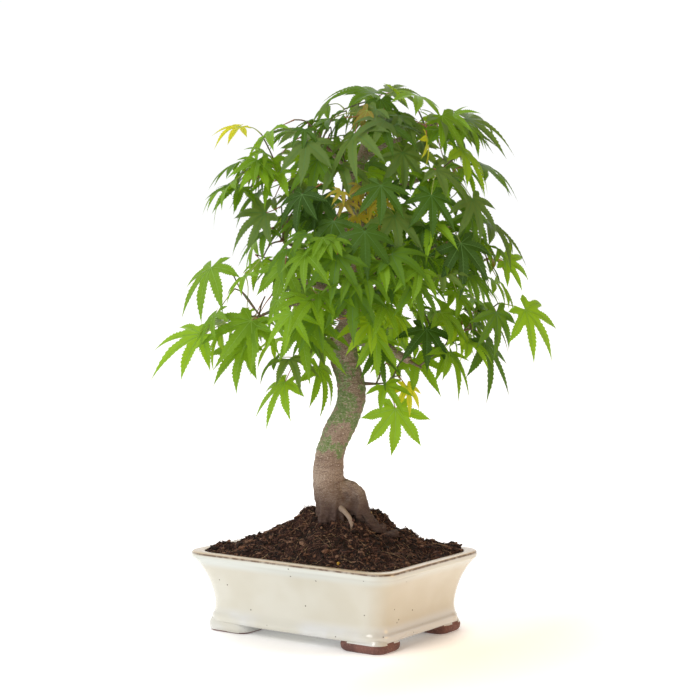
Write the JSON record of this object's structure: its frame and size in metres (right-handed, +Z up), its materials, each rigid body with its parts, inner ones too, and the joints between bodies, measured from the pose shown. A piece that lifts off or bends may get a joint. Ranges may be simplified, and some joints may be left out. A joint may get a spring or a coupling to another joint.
{
  "type": "japanese maple bonsai in a glazed pot",
  "caption": "Small japanese maple trained as a bonsai: S-bent trunk, spreading boughs and drooping masses of lobed leaves, in a cream glazed tray with corner feet and mounded soil.",
  "frame": {"origin": "middle of the whole plant's box in plan, on the level that the pot's feet stand on", "axes": "+Z up, X along the pot's long side, Y across it; the pictured side faces -Y, turned 34.7 degrees towards +X"},
  "size_m": [0.2896, 0.263, 0.463],
  "materials": {
    "glaze": "gloss",
    "soil": "matte",
    "bark": "matte",
    "leaf": "satin"
  },
  "bodies": {
    "root": {"pot": "glaze", "soil": "soil", "trunk": "bark", "bough_back": "bark", "bough_back_left": "bark", "bough_back_right": "bark", "bough_back_upper": "bark", "bough_front": "bark", "bough_front_upper": "bark", "bough_left_low": "bark", "bough_left_mid": "bark", "bough_left_upper": "bark", "bough_right_low": "bark", "bough_right_mid": "bark", "bough_right_upper": "bark", "bough_top_left": "bark", "bough_top_right": "bark", "leaves_back_left": "leaf", "leaves_back_low": "leaf", "leaves_back_mid": "leaf", "leaves_back_right": "leaf", "leaves_back_upper": "leaf", "leaves_crown_top": "leaf", "leaves_front_low": "leaf", "leaves_front_mid": "leaf", "leaves_front_upper": "leaf", "leaves_left_low": "leaf", "leaves_left_mid": "leaf", "leaves_left_under": "leaf", "leaves_left_upper": "leaf", "leaves_right_low": "leaf", "leaves_right_mid": "leaf", "leaves_right_under": "leaf", "leaves_right_upper": "leaf", "leaves_top_left": "leaf", "leaves_top_right": "leaf"}
  },
  "joints": []
}
